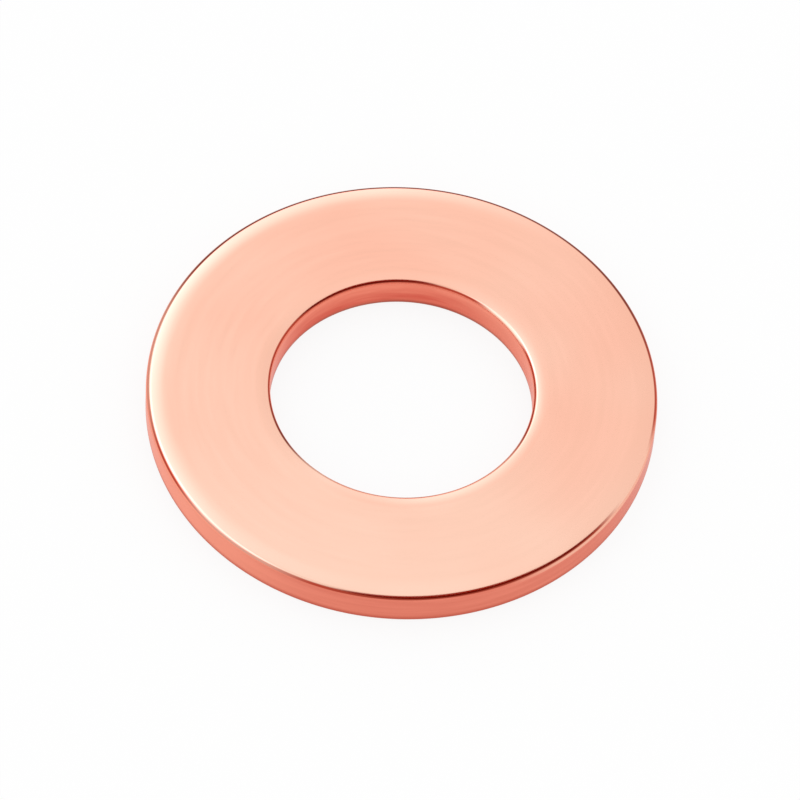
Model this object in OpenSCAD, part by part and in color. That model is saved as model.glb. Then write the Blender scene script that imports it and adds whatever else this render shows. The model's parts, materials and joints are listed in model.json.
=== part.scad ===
// Copper crush washer: one flat ring that is squeezed between a bolt head and its seat to seal the joint.
// The ring lies on the plane z = 0 with its axis along Z. All sizes are in millimetres.

/* [Ring] */
// Outside diameter
outer_d = 20; // [18:0.5:40]
// Diameter of the hole, which clears the bolt
bore_d = 10.3; // [6:0.1:14]
// Thickness between the two sealing faces
thickness = 1.6; // [1:0.1:3]

/* [Rims] */
// Width of the band beside an outer rim where the polished face falls away
outer_fall_w = 0.9; // [0.4:0.05:0.95]
// Radius of that fall in section
outer_fall_r = 6; // [5:0.5:8]
// Radius of the round where that fall meets the outer wall
outer_edge_r = 0.25; // [0.05:0.01:0.3]
// Width of the like band beside a rim of the hole
bore_fall_w = 0.65; // [0.4:0.05:0.95]
// Radius of that fall in section
bore_fall_r = 4; // [3:0.5:6]
// Radius of the round at the upper rim of the hole
bore_edge_r = 0.2; // [0.05:0.01:0.3]
// Radius of the round at the lower rim of the hole, where the punch went in
bore_low_edge_r = 0.35; // [0.05:0.01:0.4]

/* [Hidden] */
// Straight steps in a full turn, where a curve is drawn in steps
$fn = 180;

bore_r = bore_d / 2;
outer_r = outer_d / 2;
copper = "#F2AC8E";

// How far the cutting shapes reach past the ring
clear = 0.2;

// What is taken off a sharp corner at the origin, with the metal at its lower left:
// the fall's arc leaves the face without a kink, and the edge's arc touches the fall's arc and the wall
module rim_cut(fall_w, fall_r, edge_r) {
    fall_centre = [-fall_w, -fall_r];
    edge_centre = [-edge_r, -fall_r + sqrt(pow(fall_r - edge_r, 2) - pow(fall_w - edge_r, 2))];
    arcs_meet = fall_centre + (edge_centre - fall_centre) * fall_r / (fall_r - edge_r);
    difference() {
        translate([-fall_w, edge_centre[1]]) square([fall_w + clear, clear - edge_centre[1]]);
        translate(fall_centre) circle(fall_r);
    }
    difference() {
        translate([arcs_meet[0], edge_centre[1]])
            square([clear - arcs_meet[0], clear - edge_centre[1]]);
        translate(edge_centre) circle(edge_r);
    }
}

// Half of the ring's section, on the right of the axis
module section() {
    difference() {
        translate([bore_r, 0]) square([outer_r - bore_r, thickness]);
        translate([outer_r, thickness])
            rim_cut(outer_fall_w, outer_fall_r, outer_edge_r);
        translate([outer_r, 0])
            mirror([0, 1]) rim_cut(outer_fall_w, outer_fall_r, outer_edge_r);
        translate([bore_r, thickness])
            mirror([1, 0]) rim_cut(bore_fall_w, bore_fall_r, bore_edge_r);
        translate([bore_r, 0])
            mirror([1, 0]) mirror([0, 1]) rim_cut(bore_fall_w, bore_fall_r, bore_low_edge_r);
    }
}

// The ring
module washer() {
    color(copper) rotate_extrude() section();
}

washer();
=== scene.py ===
"""Polished copper crush washer on a plain pale floor.

The file is laid out as an add-on and is run as a script: main() builds the ring and its stage by operators.
Everything is in metres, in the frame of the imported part: the ring lies on z = 0 with its axis along Z.
"""

import json
import math
from collections import namedtuple

import bpy
import numpy as np
from bpy.props import FloatProperty, FloatVectorProperty, IntProperty, PointerProperty
from mathutils import Matrix, Vector


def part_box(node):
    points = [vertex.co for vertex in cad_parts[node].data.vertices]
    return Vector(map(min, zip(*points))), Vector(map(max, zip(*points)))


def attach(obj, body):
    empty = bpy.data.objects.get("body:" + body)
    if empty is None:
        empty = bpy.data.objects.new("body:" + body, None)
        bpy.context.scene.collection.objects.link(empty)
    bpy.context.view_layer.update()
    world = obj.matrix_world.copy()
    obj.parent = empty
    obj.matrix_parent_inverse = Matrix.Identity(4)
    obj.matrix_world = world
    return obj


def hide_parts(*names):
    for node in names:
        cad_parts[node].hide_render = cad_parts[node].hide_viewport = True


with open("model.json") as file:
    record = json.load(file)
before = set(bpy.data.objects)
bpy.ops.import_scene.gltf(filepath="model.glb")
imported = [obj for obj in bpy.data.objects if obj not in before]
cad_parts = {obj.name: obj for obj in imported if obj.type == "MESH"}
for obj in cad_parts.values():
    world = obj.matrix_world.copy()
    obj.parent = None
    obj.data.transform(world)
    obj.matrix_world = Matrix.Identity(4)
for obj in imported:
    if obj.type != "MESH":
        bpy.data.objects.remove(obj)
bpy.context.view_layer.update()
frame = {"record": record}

bl_info = {
    "name": "Copper crush washer",
    "version": (1, 0, 0),
    "blender": (4, 5, 0),
    "location": "View3D > Sidebar > Washer",
    "description": "Builds a polished copper crush washer and the stage it is shown on",
    "category": "Add Mesh",
}

MM = 0.001

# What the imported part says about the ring
NODE = "washer"
BODY = "root"
RING_LOW, RING_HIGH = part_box(NODE)
MOUNTS = {mount["name"]: mount for mount in frame["record"]["mounts"]}
OUTER_RADIUS = (RING_HIGH.x - RING_LOW.x) / 2
THICKNESS = RING_HIGH.z - RING_LOW.z
BORE_RADIUS = MOUNTS["bolt_hole"]["dims"]["r_mm"] * MM

# Steps of the ring's surface: round the axis, across the flat face, and along the stretches of one rim
TURN_STEPS = 512
FACE_STEPS = 8
FALL_STEPS = 11
EDGE_STEPS = 14
WALL_STEPS = 4


def linear(code):
    """Linear red, green and blue of an sRGB hex colour, by the sRGB standard's own formula."""
    shares = [int(code[i:i + 2], 16) / 255 for i in (1, 3, 5)]
    return tuple(
        share / 12.92 if share <= 0.04045 else ((share + 0.055) / 1.055) ** 2.4 for share in shares
    )


def length_property(name, description, default):
    """A size in metres that the user can change."""
    return FloatProperty(
        name=name, description=description, default=default, min=0.0,
        precision=5, subtype="DISTANCE", unit="LENGTH",
    )


def colour_property(name, description, code):
    """A colour that the user can change, given as sRGB hex."""
    return FloatVectorProperty(
        name=name, description=description, default=linear(code), size=3,
        min=0.0, max=1.0, subtype="COLOR",
    )


def angle_property(name, description, degrees):
    """An angle that the user can change, given in degrees."""
    return FloatProperty(
        name=name, description=description, default=math.radians(degrees), subtype="ANGLE"
    )


class RingProperties(bpy.types.PropertyGroup):
    """Sizes and colours of the copper ring. Its rims have the sizes that the part's source gives them."""

    outer_radius: length_property("Outer radius", "From the axis to the outer wall", OUTER_RADIUS)
    bore_radius: length_property("Bore radius", "From the axis to the wall of the hole", BORE_RADIUS)
    thickness: length_property("Thickness", "Between the two sealing faces", THICKNESS)
    outer_fall_width: length_property("Outer fall width", "Band at an outer rim that falls away", 0.9 * MM)
    outer_fall_radius: length_property("Outer fall radius", "Radius of that fall in section", 6.0 * MM)
    outer_edge_radius: length_property("Outer edge radius", "Round at the outer rims", 0.25 * MM)
    bore_fall_width: length_property("Bore fall width", "The like band at a rim of the hole", 0.65 * MM)
    bore_fall_radius: length_property("Bore fall radius", "Radius of that fall in section", 4.0 * MM)
    bore_edge_radius: length_property("Bore edge radius", "Round at the upper rim of the hole", 0.2 * MM)
    bore_low_edge_radius: length_property("Bore low edge radius", "Round at its lower rim", 0.35 * MM)
    turn_steps: IntProperty(
        name="Turn steps", description="Steps of the surface round the axis", default=TURN_STEPS, min=3
    )
    # The pale and pink colours paint the shading of the faces' reflection: pale where a face mirrors more
    # light, pink where it mirrors less.
    pale_colour: colour_property("Pale colour", "Face where the polish is cleanest", "#FBCEB7")
    pink_colour: colour_property("Pink colour", "Face where the copper shows a little pinker", "#FAB9A0")
    # The edge colours paint shade: the dark line where the rounded rims mirror dark surroundings, and the
    # walls' darkening low down.
    edge_colour: colour_property("Edge colour", "Burnished line along the rims", "#B64430")
    deep_edge_colour: colour_property("Deep edge colour", "The same line where it is deepest", "#7E3223")
    wall_colour: colour_property("Wall colour", "Sheared outer wall where it is brightest", "#F59079")
    wall_deep_colour: colour_property("Deep wall colour", "The same wall between its lines", "#D9705C")
    # Painted light: the walls that face left are paler, as if lit from the left.
    wall_left_colour: colour_property("Left wall colour", "Both walls where they face left", "#FFA288")
    # The hole's wall is painted lighter near its upper rim and darker low down, as painted highlight and
    # shade.
    bore_colour: colour_property("Bore colour", "Wall of the hole near its upper rim", "#F48A72")
    bore_deep_colour: colour_property("Deep bore colour", "The same wall low down", "#DB6250")


class StageProperties(bpy.types.PropertyGroup):
    """Floor, light and camera."""

    floor_colour: colour_property("Floor colour", "Plain pale floor", "#FAFAFA")
    floor_reach: length_property("Floor reach", "From the ring's axis to the floor's sides", 2.0)
    shadow_share: FloatProperty(
        name="Shadow share", description="How much of the floor's shading the camera sees",
        default=0.12, min=0.0, max=1.0, subtype="FACTOR",
    )
    opening_colour: colour_property("Opening colour", "Dim warm room past the tent's openings", "#9A2E1E")
    camera_distance: length_property("Camera distance", "From the ring to the camera", 276.2 * MM)
    camera_elevation: angle_property("Camera elevation", "Height of the camera above the floor", 54.093)
    camera_roll: angle_property("Camera roll", "Turn of the picture about its middle", 4.197)
    camera_lens: FloatProperty(
        name="Lens", description="Focal length in millimetres", default=317.6, min=1.0, unit="CAMERA"
    )


# Sockets of a Mix node: its factor, and the two inputs and the result for colours and for plain numbers
FACTOR = 0
COLOUR_A, COLOUR_B, COLOUR_MIX = 6, 7, 2
NUMBER_A, NUMBER_B, NUMBER_MIX = 2, 3, 0


def add_node(tree, kind, settings=None, links=None):
    """Adds a node. Settings are its attributes or values of its inputs, and links feed its inputs.

    An input goes by its name, or by its number where several have the same name.
    """
    node = tree.nodes.new(kind)
    for key, value in (settings or {}).items():
        if isinstance(key, str) and hasattr(node, key):
            setattr(node, key, value)
        else:
            node.inputs[key].default_value = value
    for key, source in (links or {}).items():
        tree.links.new(source, node.inputs[key])
    return node


def rim_line(thickness, fall_width, fall_radius, edge_radius):
    """An upper rim in section, from where the face ends to the middle of the wall.

    In words: an arc of the fall's radius that leaves the face without a kink, an arc of the edge's radius
    that touches the first arc and the wall, and a straight run down the wall. Returns the way in from the
    wall, the height over the ring's middle plane, and the angle turned, from 0 on the face to a quarter turn
    on the wall.
    """
    fall_base = thickness / 2 - fall_radius
    reach = fall_radius - edge_radius
    meet = math.asin((fall_width - edge_radius) / reach)
    edge_height = fall_base + reach * math.cos(meet)
    fall = np.linspace(0, meet, FALL_STEPS, endpoint=False)
    edge = np.linspace(meet, math.pi / 2, EDGE_STEPS, endpoint=False)
    way_in = np.concatenate([
        fall_width - fall_radius * np.sin(fall),
        edge_radius - edge_radius * np.sin(edge),
        np.zeros(WALL_STEPS),
    ])
    height = np.concatenate([
        fall_base + fall_radius * np.cos(fall),
        edge_height + edge_radius * np.cos(edge),
        np.linspace(edge_height, 0, WALL_STEPS),
    ])
    turned = np.concatenate([fall, edge, np.full(WALL_STEPS, math.pi / 2)])
    return way_in, height, turned


def half_section(size, bore_edge_radius):
    """Half of the section, from the middle of the hole's wall over the upper face to that of the outer wall.

    In words: the hole's rim, the flat face and the outer rim. The rows are radius, height over the middle
    plane, the outward normal's two parts, and the share turned from face (0) to wall (1).
    """
    bore_in, bore_height, bore_turned = rim_line(
        size.thickness, size.bore_fall_width, size.bore_fall_radius, bore_edge_radius
    )
    outer_in, outer_height, outer_turned = rim_line(
        size.thickness, size.outer_fall_width, size.outer_fall_radius, size.outer_edge_radius
    )
    face_ends = size.bore_radius + size.bore_fall_width, size.outer_radius - size.outer_fall_width
    face = np.linspace(*face_ends, FACE_STEPS)[1:-1]
    radius = np.concatenate([size.bore_radius + bore_in[::-1], face, size.outer_radius - outer_in])
    height = np.concatenate([bore_height[::-1], np.full(len(face), size.thickness / 2), outer_height])
    lean = np.concatenate([-bore_turned[::-1], np.zeros(len(face)), outer_turned])
    return np.stack([radius, height, np.sin(lean), np.cos(lean), np.abs(lean) / (math.pi / 2)])


def ring_section(size):
    """The closed section, walked over the upper face from the hole to the outer wall and back underneath.

    In words: the upper half, then a lower half that is mirrored in the middle plane and has its own round at
    the hole. Returns the half section's rows, with the height over the floor.
    """
    mirrored = np.array([1, -1, 1, -1, 1])
    upper = half_section(size, size.bore_edge_radius)
    lower = half_section(size, size.bore_low_edge_radius) * mirrored[:, None]
    rows = np.concatenate([upper[:, :-1], lower[:, :0:-1]], axis=1)
    radius, height, normal_out, normal_up, turned = rows
    return radius, height + size.thickness / 2, normal_out, normal_up, turned


def ring_mesh(size):
    """The ring's surface: the closed section carried once round the axis, as a grid that closes both ways.

    In words: a point is (radius cos a, radius sin a, height), with a going once round. The texture map has
    the angle along one side and the way along the section along the other.
    """
    radius, height, normal_out, normal_up, turned = ring_section(size)
    rows, columns = len(radius), size.turn_steps
    angle = np.linspace(0, 2 * math.pi, columns, endpoint=False)
    cos, sin, same = np.cos(angle), np.sin(angle), np.ones(columns)
    points = np.stack([np.outer(radius, cos), np.outer(radius, sin), np.outer(height, same)], axis=-1)
    normals = np.stack(
        [np.outer(normal_out, cos), np.outer(normal_out, sin), np.outer(normal_up, same)], axis=-1
    )

    row, column = np.meshgrid(np.arange(rows), np.arange(columns), indexing="ij")
    corner_row = row[..., None] + np.array([0, 1, 1, 0])
    corner_column = column[..., None] + np.array([0, 0, 1, 1])
    corners = corner_row % rows * columns + corner_column % columns
    face_starts = np.arange(0, corners.size, corners.shape[-1], dtype=np.int32)
    stretch = np.hypot(np.diff(radius, append=radius[0]), np.diff(height, append=height[0]))
    along = np.concatenate([[0], np.cumsum(stretch)]) / stretch.sum()
    places = np.stack([corner_column / columns, along[corner_row]], axis=-1)

    mesh = bpy.data.meshes.new("crush_washer")
    mesh.vertices.add(rows * columns)
    mesh.vertices.foreach_set("co", points.astype(np.float32).ravel())
    mesh.loops.add(corners.size)
    mesh.loops.foreach_set("vertex_index", corners.astype(np.int32).ravel())
    mesh.polygons.add(rows * columns)
    mesh.polygons.foreach_set("loop_start", face_starts)
    mesh.update(calc_edges=True)
    mesh.shade_smooth()
    mesh.normals_split_custom_set_from_vertices(normals.reshape(-1, 3))
    texture_map = mesh.uv_layers.new(name="OFBake")
    texture_map.uv.foreach_set("vector", places.astype(np.float32).ravel())
    zone = mesh.attributes.new("turned", "FLOAT", "POINT")
    zone.data.foreach_set("value", np.repeat(turned, columns).astype(np.float32))
    return mesh


def pointing(round_left, up):
    """Unit vector that many degrees round from behind the ring towards its left, and that many up."""
    turn, rise = math.radians(round_left), math.radians(up)
    level = math.cos(rise)
    return Vector((-math.sin(turn) * level, math.cos(turn) * level, math.sin(rise)))


def direction_patch(tree, direction, round_left, up, half_width, soft_edge):
    """A round patch of directions: whole within its half-width, and fading smoothly over its soft edge."""
    middle = pointing(round_left, up)
    nearness = add_node(
        tree, "ShaderNodeVectorMath", {"operation": "DOT_PRODUCT", 1: middle}, {0: direction}
    ).outputs["Value"]
    outer, inner = math.cos(math.radians(half_width + soft_edge)), math.cos(math.radians(half_width))
    return add_node(
        tree, "ShaderNodeMapRange",
        {"interpolation_type": "SMOOTHSTEP", "From Min": outer, "From Max": inner}, {"Value": nearness}
    ).outputs["Result"]


# Stretches of the rims and walls by the way they face: degrees round from behind the ring towards its left,
# degrees up, and half-width and soft edge in degrees
# These stretches place painted light and shade. The painted dark line is deeper on rims that face away and
# on the deeper stretch. Walls that face left get painted light, the pinker stretch gets painted shade, and
# the bright stretch holds a painted highlight.
FACING_AWAY = (0, 0, 53, 37)
FACING_LEFT = (90, 0, 37, 41)
PINKER_STRETCH = (25, 0, 32, 28)
DEEPER_STRETCH = (-158, 0, 20, 20)
BRIGHT_STRETCH = (-122, 0, 8, 24)

# What the finish reads off the ring's surface, each an output of a node: its place, its place in plan, its
# distance and heading from the axis, its height, the share turned from face to wall, whether it is on the
# outside (1) or in the hole (0), the way a rim or wall faces, and how much it faces away
Surface = namedtuple("Surface", "place flat radius heading height turned on_outside facing away")


def read_surface(tree, size):
    """Reads the surface for the finish.

    In words: a rim or wall faces away from the axis on the outside, and towards the axis in the hole.
    """
    place = add_node(tree, "ShaderNodeTexCoord").outputs["Object"]
    flat = add_node(
        tree, "ShaderNodeVectorMath", {"operation": "MULTIPLY", 1: (1, 1, 0)}, {0: place}
    ).outputs["Vector"]
    radius = add_node(tree, "ShaderNodeVectorMath", {"operation": "LENGTH"}, {0: flat}).outputs["Value"]
    heading = add_node(
        tree, "ShaderNodeVectorMath", {"operation": "NORMALIZE"}, {0: flat}
    ).outputs["Vector"]
    height = add_node(tree, "ShaderNodeSeparateXYZ", None, {"Vector": place}).outputs["Z"]
    turned = add_node(tree, "ShaderNodeAttribute", {"attribute_name": "turned"}).outputs["Fac"]
    mid_radius = (size.bore_radius + size.outer_radius) / 2
    on_outside = add_node(
        tree, "ShaderNodeMath", {"operation": "GREATER_THAN", 1: mid_radius}, {0: radius}
    ).outputs["Value"]
    outwards = add_node(
        tree, "ShaderNodeMapRange", {"To Min": -1.0, "To Max": 1.0}, {"Value": on_outside}
    ).outputs["Result"]
    facing = add_node(
        tree, "ShaderNodeVectorMath", {"operation": "SCALE"}, {0: heading, "Scale": outwards}
    ).outputs["Vector"]
    away = direction_patch(tree, facing, *FACING_AWAY)
    return Surface(place, flat, radius, heading, height, turned, on_outside, facing, away)


# Rings of the polishing wheel on the faces and of the shearing on the walls: how far apart and how deep they
# are, and how fast they change round the axis. Real ones are about 0.02 mm apart, and these are drawn wider
# apart, so that they show.
RING_SPACING = 0.3 * MM
RING_DEPTH = 0.0004 * MM
RING_BREAKS = 2.0


def ring_marks(tree, surface):
    """The rings, as a noise that changes fast with the radius and the height, and slowly round the axis."""
    way_over = add_node(
        tree, "ShaderNodeMath", {"operation": "ADD"}, {0: surface.radius, 1: surface.height}
    ).outputs["Value"]
    ring_step = add_node(
        tree, "ShaderNodeMath", {"operation": "DIVIDE", 1: RING_SPACING}, {0: way_over}
    ).outputs["Value"]
    ring_out = add_node(tree, "ShaderNodeCombineXYZ", None, {"Z": ring_step}).outputs["Vector"]
    ring_round = add_node(
        tree, "ShaderNodeVectorMath", {"operation": "SCALE", "Scale": RING_BREAKS}, {0: surface.heading}
    ).outputs["Vector"]
    ring_place = add_node(
        tree, "ShaderNodeVectorMath", {"operation": "ADD"}, {0: ring_round, 1: ring_out}
    ).outputs["Vector"]
    return add_node(
        tree, "ShaderNodeTexNoise", {"Scale": 1.0, "Detail": 2.0, "Roughness": 0.6}, {"Vector": ring_place}
    ).outputs["Fac"]


# Tint of the faces, painted shading of their reflection: the way and the distance over which the copper goes
# from pale, where a face mirrors more light, to pink, where it mirrors less
TINT_WAY = Vector((0.28, 0.96, 0))
TINT_REACH = 28 * MM
# Its soft patches vary the tint at random. Their width, the shift of their noise that puts a pinker one on
# the right as painted shade where the face mirrors less light, and the least and the most that they add to
# the tint
PATCH_WIDTH = 6 * MM
PATCH_SHIFT = (-17.25 * MM, -61.5 * MM, 0)
PATCH_LEAST, PATCH_MOST = -0.15, 1.06
# What a whole turn from face to wall adds to the tint along the pinker stretch of the hole's near rim:
# painted shade that dims the glow of that rim
NEAR_RIM_TINT = 10.0


def polished_faces(tree, size, surface):
    """Colour of the faces: pale to pink across the ring, in soft patches, and pinker on a stretch of rim.
    The pale to pink is painted shading of the faces' reflection, and the pinker stretch is painted shade
    that dims a rim's glow.
    """
    across = add_node(
        tree, "ShaderNodeVectorMath", {"operation": "DOT_PRODUCT", 1: TINT_WAY / TINT_REACH},
        {0: surface.place}
    ).outputs["Value"]
    patch_place = add_node(
        tree, "ShaderNodeVectorMath", {"operation": "ADD", 1: PATCH_SHIFT}, {0: surface.place}
    ).outputs["Vector"]
    patches = add_node(
        tree, "ShaderNodeTexNoise", {"Scale": 1 / PATCH_WIDTH, "Detail": 1.0, "Roughness": 0.5},
        {"Vector": patch_place}
    ).outputs["Fac"]
    patch_tint = add_node(
        tree, "ShaderNodeMapRange", {"To Min": PATCH_LEAST, "To Max": PATCH_MOST}, {"Value": patches}
    ).outputs["Result"]
    face_tint = add_node(
        tree, "ShaderNodeMath", {"operation": "ADD"}, {0: across, 1: patch_tint}
    ).outputs["Value"]
    bore_tint = add_node(
        tree, "ShaderNodeMapRange", {"To Min": NEAR_RIM_TINT, "To Max": 0.0}, {"Value": surface.on_outside}
    ).outputs["Result"]
    # Painted shade on a stretch of the hole's near rim.
    near_tint = add_node(
        tree, "ShaderNodeMath", {"operation": "MULTIPLY"},
        {0: direction_patch(tree, surface.facing, *PINKER_STRETCH), 1: bore_tint}
    ).outputs["Value"]
    tint = add_node(
        tree, "ShaderNodeMath", {"operation": "MULTIPLY_ADD"},
        {0: surface.turned, 1: near_tint, 2: face_tint}
    ).outputs["Value"]
    return add_node(
        tree, "ShaderNodeMix",
        {"data_type": "RGBA", COLOUR_A: (*size.pale_colour, 1), COLOUR_B: (*size.pink_colour, 1)},
        {FACTOR: tint}
    ).outputs[COLOUR_MIX]


# Shares of the turn from face to wall where the dark line begins and is whole, and how much sooner it begins
# on rims that face away. The line is painted shade: the dark that the rounded rims mirror from dark
# surroundings.
LINE_BEGINS, LINE_WHOLE = 0.28, 0.42
LINE_SOONER = 0.18
# How deep the line is on its deeper stretch, where 1 is as deep as on rims that face away
DEEPER_SHARE = 0.5
# Spots where the painted dark line is left out, so that the rims' highlights show there: how far right of
# the axis, how far behind it and reach, in millimetres, and how much of the line is left out
LINE_GAPS = [
    (-6.1, -7.9, 3.8, 0.5), (-9.9, 0.8, 5.0, 0.4), (9.4, -3.5, 3.2, 1.0),
    (3.9, 3.5, 1.8, 1.0), (-1.7, -4.9, 3.6, 0.75), (3.0, -4.2, 3.6, 0.75),
]
# Share of a spot's reach over which the line is left out evenly
GAP_EVENLY = 0.35


def painted_rim_line(tree, size, surface):
    """Colour of the painted dark line along the rims, and the share of it that shows.

    In words: the line begins where the surface has turned far enough from the face. On rims that face away,
    along +Y, it begins sooner and is deeper, and it is half as deep on a stretch that faces the front right.
    In places it is left out, so that the rims' highlights show there. All of it is painted shade, for the
    dark that the rounded rims mirror from dark surroundings.
    """
    deep_share = add_node(
        tree, "ShaderNodeMath", {"operation": "MULTIPLY_ADD", 1: DEEPER_SHARE},
        {0: direction_patch(tree, surface.facing, *DEEPER_STRETCH), 2: surface.away}
    ).outputs["Value"]
    colour = add_node(
        tree, "ShaderNodeMix",
        {"data_type": "RGBA", COLOUR_A: (*size.edge_colour, 1), COLOUR_B: (*size.deep_edge_colour, 1)},
        {FACTOR: deep_share}
    ).outputs[COLOUR_MIX]
    line_turn = add_node(
        tree, "ShaderNodeMath", {"operation": "MULTIPLY_ADD", 1: LINE_SOONER},
        {0: surface.away, 2: surface.turned}
    ).outputs["Value"]
    share = add_node(
        tree, "ShaderNodeMapRange",
        {"interpolation_type": "SMOOTHSTEP", "From Min": LINE_BEGINS, "From Max": LINE_WHOLE},
        {"Value": line_turn}
    ).outputs["Result"]
    for right, behind, reach, gap_share in LINE_GAPS:
        middle = Vector((right, behind, 0)) * MM
        distance = add_node(
            tree, "ShaderNodeVectorMath", {"operation": "DISTANCE", 1: middle}, {0: surface.flat}
        ).outputs["Value"]
        left_over = add_node(
            tree, "ShaderNodeMapRange",
            {"interpolation_type": "SMOOTHSTEP", "From Min": GAP_EVENLY * reach * MM,
             "From Max": reach * MM, "To Min": 1 - gap_share},
            {"Value": distance}
        ).outputs["Result"]
        share = add_node(
            tree, "ShaderNodeMath", {"operation": "MULTIPLY"}, {0: share, 1: left_over}
        ).outputs["Value"]
    return colour, share


# Heights over the floor between which the hole's wall goes from deep to light, painted shade low down and a
# painted highlight near its upper rim, what each end adds to its light share, and how strongly its lines
# show
BORE_DEEP_HEIGHT, BORE_LIGHT_HEIGHT = 0.5 * MM, 1.5 * MM
BORE_DEEP_SHARE, BORE_LIGHT_SHARE = -0.7, 0.3
BORE_LINES = 1.6
# How much of the left wall's colour, painted light from the left, the walls that face left have, in the hole
# and on the outside
LEFT_IN_HOLE, LEFT_OUTSIDE = 0.5, 0.85
# Heights over the floor where the walls begin to deepen and are deepest, and how much they deepen there:
# painted shade where the rims meet the floor
LOW_BEGINS, LOW_DEEPEST = 0.52 * MM, 0.2 * MM
LOW_SHARE = 0.75


def sheared_walls(tree, size, surface, rings):
    """Colour of the walls.

    In words: the outer wall is lined by the shearing. The wall of the hole is redder, with a painted
    highlight near its upper rim and painted shade low down. Both have painted light where they face left,
    and painted shade low down, where the rims meet the floor.
    """
    outer_wall = add_node(
        tree, "ShaderNodeMix",
        {"data_type": "RGBA", COLOUR_A: (*size.wall_deep_colour, 1), COLOUR_B: (*size.wall_colour, 1)},
        {FACTOR: rings}
    ).outputs[COLOUR_MIX]
    # Painted highlight near the hole's upper rim and painted shade low down.
    bore_high = add_node(
        tree, "ShaderNodeMapRange",
        {"From Min": BORE_DEEP_HEIGHT, "From Max": BORE_LIGHT_HEIGHT,
         "To Min": BORE_DEEP_SHARE, "To Max": BORE_LIGHT_SHARE},
        {"Value": surface.height}
    ).outputs["Result"]
    bore_light = add_node(
        tree, "ShaderNodeMath", {"operation": "MULTIPLY_ADD", 1: BORE_LINES}, {0: rings, 2: bore_high}
    ).outputs["Value"]
    bore_wall = add_node(
        tree, "ShaderNodeMix",
        {"data_type": "RGBA", COLOUR_A: (*size.bore_deep_colour, 1), COLOUR_B: (*size.bore_colour, 1)},
        {FACTOR: bore_light}
    ).outputs[COLOUR_MIX]
    lined_wall = add_node(
        tree, "ShaderNodeMix", {"data_type": "RGBA"},
        {FACTOR: surface.on_outside, COLOUR_A: bore_wall, COLOUR_B: outer_wall}
    ).outputs[COLOUR_MIX]
    # Painted light: walls that face left are paler.
    left_share = add_node(
        tree, "ShaderNodeMapRange", {"To Min": LEFT_IN_HOLE, "To Max": LEFT_OUTSIDE},
        {"Value": surface.on_outside}
    ).outputs["Result"]
    to_left = add_node(
        tree, "ShaderNodeMath", {"operation": "MULTIPLY"},
        {0: direction_patch(tree, surface.facing, *FACING_LEFT), 1: left_share}
    ).outputs["Value"]
    left_wall = add_node(
        tree, "ShaderNodeMix", {"data_type": "RGBA", COLOUR_B: (*size.wall_left_colour, 1)},
        {FACTOR: to_left, COLOUR_A: lined_wall}
    ).outputs[COLOUR_MIX]
    # Painted shade: the walls deepen low down, where the rims meet the floor.
    low_colour = add_node(
        tree, "ShaderNodeMix",
        {"data_type": "RGBA", COLOUR_A: (*size.deep_edge_colour, 1), COLOUR_B: (*size.edge_colour, 1)},
        {FACTOR: surface.on_outside}
    ).outputs[COLOUR_MIX]
    to_low = add_node(
        tree, "ShaderNodeMapRange",
        {"interpolation_type": "SMOOTHSTEP", "From Min": LOW_BEGINS, "From Max": LOW_DEEPEST,
         "To Max": LOW_SHARE},
        {"Value": surface.height}
    ).outputs["Result"]
    return add_node(
        tree, "ShaderNodeMix", {"data_type": "RGBA"},
        {FACTOR: to_low, COLOUR_A: left_wall, COLOUR_B: low_colour}
    ).outputs[COLOUR_MIX]


# The painted highlight strip: how far it lies under the upper face, and how far from its middle it is whole
# and is gone
STRIP_DROP = 0.21 * MM
STRIP_WHOLE, STRIP_GONE = 0.04 * MM, 0.09 * MM


def painted_highlight_strip(tree, size, surface):
    """Share of a painted highlight strip, under the painted dark line at the front right, where that rim
    mirrors a bright light.
    """
    stretch = add_node(
        tree, "ShaderNodeMath", {"operation": "MULTIPLY"},
        {0: direction_patch(tree, surface.facing, *BRIGHT_STRETCH), 1: surface.on_outside}
    ).outputs["Value"]
    over_middle = add_node(
        tree, "ShaderNodeMath", {"operation": "SUBTRACT", 1: size.thickness - STRIP_DROP},
        {0: surface.height}
    ).outputs["Value"]
    off_middle = add_node(
        tree, "ShaderNodeMath", {"operation": "ABSOLUTE"}, {0: over_middle}
    ).outputs["Value"]
    return add_node(
        tree, "ShaderNodeMapRange",
        {"interpolation_type": "SMOOTHSTEP", "From Min": STRIP_GONE, "From Max": STRIP_WHOLE},
        {"Value": off_middle, "To Max": stretch}
    ).outputs["Result"]


# Shares of the turn from face to wall where the wall begins and is whole
WALL_BEGINS, WALL_WHOLE = 0.57, 0.68
# The walls are duller than the faces. The faces' roughness goes from its least to its most as the noise of
# the rings goes from low to high.
WALL_ROUGHNESS = 0.3
FACE_LEAST_ROUGH, FACE_MOST_ROUGH = 0.13, 0.19
NOISE_LOW, NOISE_HIGH = 0.3, 0.7
# Tint of the metal's reflection at a glancing angle
GLANCING_TINT = (1.0, 0.8, 0.75, 1.0)


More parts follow.
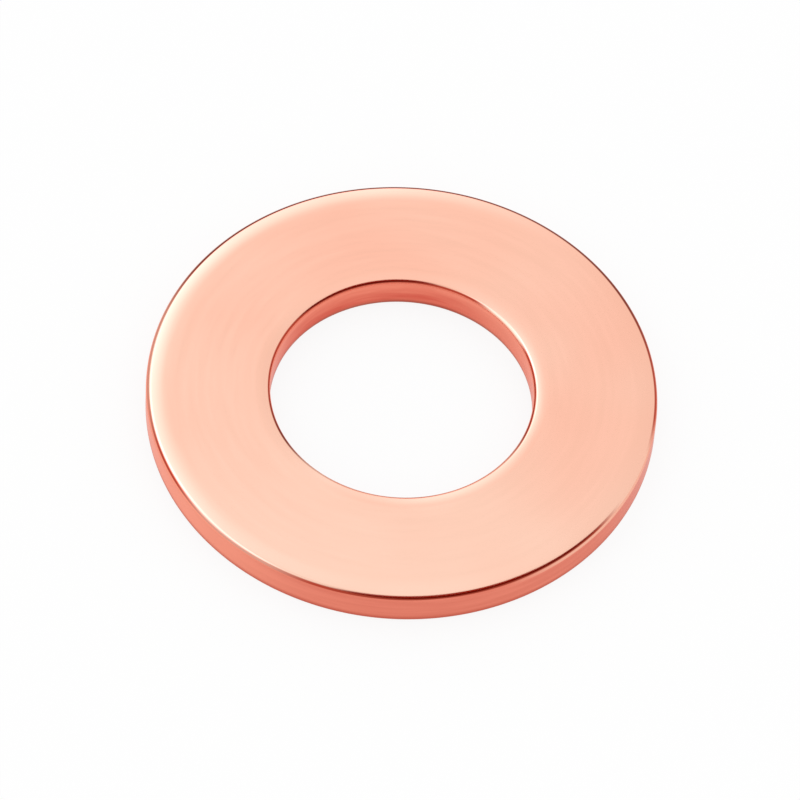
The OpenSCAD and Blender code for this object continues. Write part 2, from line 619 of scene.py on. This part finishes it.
def polished_copper(size):
    """Copper sheet, punched and tumbled, with its two faces polished.

    To the eye: pale pink mirror-like faces with faint rings left by the polishing wheel, a little pinker on
    one side than on the other as painted shading of their reflection, a painted dark line along each rim
    where it mirrors dark surroundings, and redder, duller walls with painted light where they face left, a
    painted highlight strip and painted shade low down.
    """
    material = bpy.data.materials.new("Copper, polished faces and sheared walls")
    material.use_nodes = True
    tree = material.node_tree
    tree.nodes.clear()

    surface = read_surface(tree, size)
    rings = ring_marks(tree, surface)
    face_colour = polished_faces(tree, size, surface)
    line_colour, line_share = painted_rim_line(tree, size, surface)
    wall_colour = sheared_walls(tree, size, surface, rings)
    to_wall = add_node(
        tree, "ShaderNodeMapRange",
        {"interpolation_type": "SMOOTHSTEP", "From Min": WALL_BEGINS, "From Max": WALL_WHOLE},
        {"Value": surface.turned}
    ).outputs["Result"]
    # The painted dark line goes over the faces' colour.
    with_line = add_node(
        tree, "ShaderNodeMix", {"data_type": "RGBA"},
        {FACTOR: line_share, COLOUR_A: face_colour, COLOUR_B: line_colour}
    ).outputs[COLOUR_MIX]
    with_wall = add_node(
        tree, "ShaderNodeMix", {"data_type": "RGBA"},
        {FACTOR: to_wall, COLOUR_A: with_line, COLOUR_B: wall_colour}
    ).outputs[COLOUR_MIX]
    # A painted highlight strip goes over the rest.
    colour = add_node(
        tree, "ShaderNodeMix", {"data_type": "RGBA", COLOUR_B: (*size.pink_colour, 1)},
        {FACTOR: painted_highlight_strip(tree, size, surface), COLOUR_A: with_wall}
    ).outputs[COLOUR_MIX]

    polish = add_node(
        tree, "ShaderNodeMapRange",
        {"From Min": NOISE_LOW, "From Max": NOISE_HIGH,
         "To Min": FACE_LEAST_ROUGH, "To Max": FACE_MOST_ROUGH},
        {"Value": rings}
    ).outputs["Result"]
    roughness = add_node(
        tree, "ShaderNodeMix", {"data_type": "FLOAT", NUMBER_B: WALL_ROUGHNESS},
        {FACTOR: to_wall, NUMBER_A: polish}
    ).outputs[NUMBER_MIX]
    relief = add_node(
        tree, "ShaderNodeBump", {"Strength": 1.0, "Distance": RING_DEPTH}, {"Height": rings}
    ).outputs["Normal"]
    shader = add_node(
        tree, "ShaderNodeBsdfPrincipled", {"Metallic": 1.0, "Specular Tint": GLANCING_TINT},
        {"Base Color": colour, "Roughness": roughness, "Normal": relief}
    )
    add_node(tree, "ShaderNodeOutputMaterial", None, {"Surface": shader.outputs["BSDF"]})
    return material


class MakeRing(bpy.types.Operator):
    """Builds the copper ring in place of the plain solid"""

    bl_idname = "mesh.crush_washer_ring"
    bl_label = "Make the copper ring"

    def execute(self, context):
        size = context.scene.crush_washer_ring
        mesh = ring_mesh(size)
        if mesh.validate():
            raise RuntimeError("the ring's surface is not a sound mesh")
        mesh.materials.append(polished_copper(size))
        ring = bpy.data.objects.new("crush_washer", mesh)
        context.scene.collection.objects.link(ring)
        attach(ring, BODY)
        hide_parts(NODE)
        return {"FINISHED"}


# The light tent as polished metal mirrors it: its own brightness, and red, green and blue of its soft boxes,
# whose daylight lamps are a little cool
TENT_BRIGHTNESS = 0.985
COOL_WHITE = (1.0, 1.0, 1.25)
# The soft boxes: degrees round from behind the ring towards its left, degrees up, half-width and soft edge
# in degrees, and brightness over the tent's own
SOFT_BOXES = {
    "left wall": (41, 46, 2, 22, 1.0),
    "back wall": (12, 36, 1, 17, 0.7),
    "ceiling": (10, 67, 6, 9, 0.1),
    "key": (84, 47, 17, 12, 0.7),
}
# Where the tent is open, high at the front right and further down at the right: the same but the brightness
OPENINGS = [(-150, 58, 24, 6), (-112, 44, 16, 4)]


def light_tent(stage):
    """A plain white tent. Metal mirrors its soft boxes and openings; all else gets its plain white light."""
    world = bpy.data.worlds.new("Light tent")
    world.use_nodes = True
    world.cycles.sampling_method = "NONE"
    tree = world.node_tree
    tree.nodes.clear()
    direction = add_node(tree, "ShaderNodeTexCoord").outputs["Generated"]
    light = add_node(
        tree, "ShaderNodeCombineXYZ", dict.fromkeys("XYZ", TENT_BRIGHTNESS)
    ).outputs["Vector"]
    for where in OPENINGS:
        light = add_node(
            tree, "ShaderNodeMix", {"data_type": "RGBA", COLOUR_B: (*stage.opening_colour, 1)},
            {FACTOR: direction_patch(tree, direction, *where), COLOUR_A: light}
        ).outputs[COLOUR_MIX]
    for name, (*where, brightness) in SOFT_BOXES.items():
        box_light = [brightness * share for share in COOL_WHITE]
        light = add_node(
            tree, "ShaderNodeMix",
            {"label": name, "data_type": "RGBA", "blend_type": "ADD", COLOUR_B: (*box_light, 1)},
            {FACTOR: direction_patch(tree, direction, *where), COLOUR_A: light}
        ).outputs[COLOUR_MIX]
    mirrored = add_node(tree, "ShaderNodeBackground", {"Strength": 1.0}, {"Color": light})
    plain = add_node(tree, "ShaderNodeBackground", {"Color": (1, 1, 1, 1), "Strength": 1.0})
    glossy = add_node(tree, "ShaderNodeLightPath").outputs["Is Glossy Ray"]
    either = add_node(
        tree, "ShaderNodeMixShader", None,
        {0: glossy, 1: plain.outputs["Background"], 2: mirrored.outputs["Background"]}
    )
    add_node(tree, "ShaderNodeOutputWorld", None, {"Surface": either.outputs["Shader"]})
    return world


def white_paper(stage):
    """Matt white paper. Seen or mirrored it is mostly plain white, and the rest carries a soft shadow."""
    material = bpy.data.materials.new("Matt white paper")
    material.use_nodes = True
    tree = material.node_tree
    tree.nodes.clear()
    paper = add_node(tree, "ShaderNodeBsdfDiffuse", {"Color": (*stage.floor_colour, 1)})
    white = add_node(tree, "ShaderNodeEmission", {"Color": (1, 1, 1, 1), "Strength": 1.0})
    ray = add_node(tree, "ShaderNodeLightPath").outputs
    mirrored = add_node(
        tree, "ShaderNodeMath", {"operation": "MAXIMUM"},
        {0: ray["Is Glossy Ray"], 1: ray["Is Transmission Ray"]}
    ).outputs["Value"]
    seen = add_node(
        tree, "ShaderNodeMath", {"operation": "MAXIMUM"}, {0: ray["Is Camera Ray"], 1: mirrored}
    ).outputs["Value"]
    share = add_node(
        tree, "ShaderNodeMath", {"operation": "MULTIPLY", 1: 1 - stage.shadow_share}, {0: seen}
    ).outputs["Value"]
    either = add_node(
        tree, "ShaderNodeMixShader", None,
        {0: share, 1: paper.outputs["BSDF"], 2: white.outputs["Emission"]}
    )
    add_node(tree, "ShaderNodeOutputMaterial", None, {"Surface": either.outputs["Shader"]})
    return material


def pale_floor(stage):
    """A square of paper under the ring."""
    reach = stage.floor_reach
    corners = [(-reach, -reach, 0), (reach, -reach, 0), (reach, reach, 0), (-reach, reach, 0)]
    mesh = bpy.data.meshes.new("floor")
    mesh.from_pydata(corners, [], [(0, 1, 2, 3)])
    mesh.materials.append(white_paper(stage))
    return bpy.data.objects.new("floor", mesh)


# Where the picture's middle lies from the ring's middle, to the right and up in the picture
AIM_RIGHT = -0.052 * MM
AIM_UP = -0.036 * MM
# Width of the camera's sensor in millimetres
SENSOR_WIDTH = 36.0


def long_camera(stage):
    """A long lens that looks down on the ring from the front, turned a little about its line of sight."""
    up_angle, roll = stage.camera_elevation, stage.camera_roll
    ahead = Vector((0, math.cos(up_angle), -math.sin(up_angle)))
    level = Vector((1, 0, 0))
    upright = level.cross(ahead)
    right = math.cos(roll) * level + math.sin(roll) * upright
    up = math.cos(roll) * upright - math.sin(roll) * level
    aim = (RING_LOW + RING_HIGH) / 2 + AIM_RIGHT * right + AIM_UP * up
    data = bpy.data.cameras.new("camera")
    data.lens = stage.camera_lens
    data.sensor_width = SENSOR_WIDTH
    camera = bpy.data.objects.new("camera", data)
    turn = Matrix((right, up, -ahead)).transposed()
    camera.matrix_world = Matrix.Translation(aim - stage.camera_distance * ahead) @ turn.to_4x4()
    return camera


class MakeStage(bpy.types.Operator):
    """Sets the floor, the light and the camera"""

    bl_idname = "scene.crush_washer_stage"
    bl_label = "Set the stage"

    def execute(self, context):
        scene = context.scene
        stage = scene.crush_washer_stage
        floor = pale_floor(stage)
        camera = long_camera(stage)
        for thing in (floor, camera):
            scene.collection.objects.link(thing)
        scene.camera = camera
        scene.world = light_tent(stage)
        scene.view_settings.view_transform = "Standard"
        return {"FINISHED"}


class WasherPanel(bpy.types.Panel):
    """Sidebar panel with the ring, its stage and what can be changed in each."""

    bl_idname = "VIEW3D_PT_crush_washer"
    bl_label = "Copper crush washer"
    bl_space_type = "VIEW_3D"
    bl_region_type = "UI"
    bl_category = "Washer"

    def draw(self, context):
        for operator, group in ((MakeRing, "crush_washer_ring"), (MakeStage, "crush_washer_stage")):
            properties = getattr(context.scene, group)
            self.layout.operator(operator.bl_idname)
            for name in properties.__annotations__:
                self.layout.prop(properties, name)


CLASSES = (RingProperties, StageProperties, MakeRing, MakeStage, WasherPanel)


def register():
    """Registers the classes and hangs their properties on the scene."""
    for each in CLASSES:
        bpy.utils.register_class(each)
    bpy.types.Scene.crush_washer_ring = PointerProperty(type=RingProperties)
    bpy.types.Scene.crush_washer_stage = PointerProperty(type=StageProperties)


def unregister():
    """Takes the properties and classes away again."""
    del bpy.types.Scene.crush_washer_stage
    del bpy.types.Scene.crush_washer_ring
    for each in reversed(CLASSES):
        bpy.utils.unregister_class(each)


def main():
    """Builds the ring and its stage."""
    register()
    bpy.ops.mesh.crush_washer_ring()
    bpy.ops.scene.crush_washer_stage()


if __name__ == "__main__":
    main()
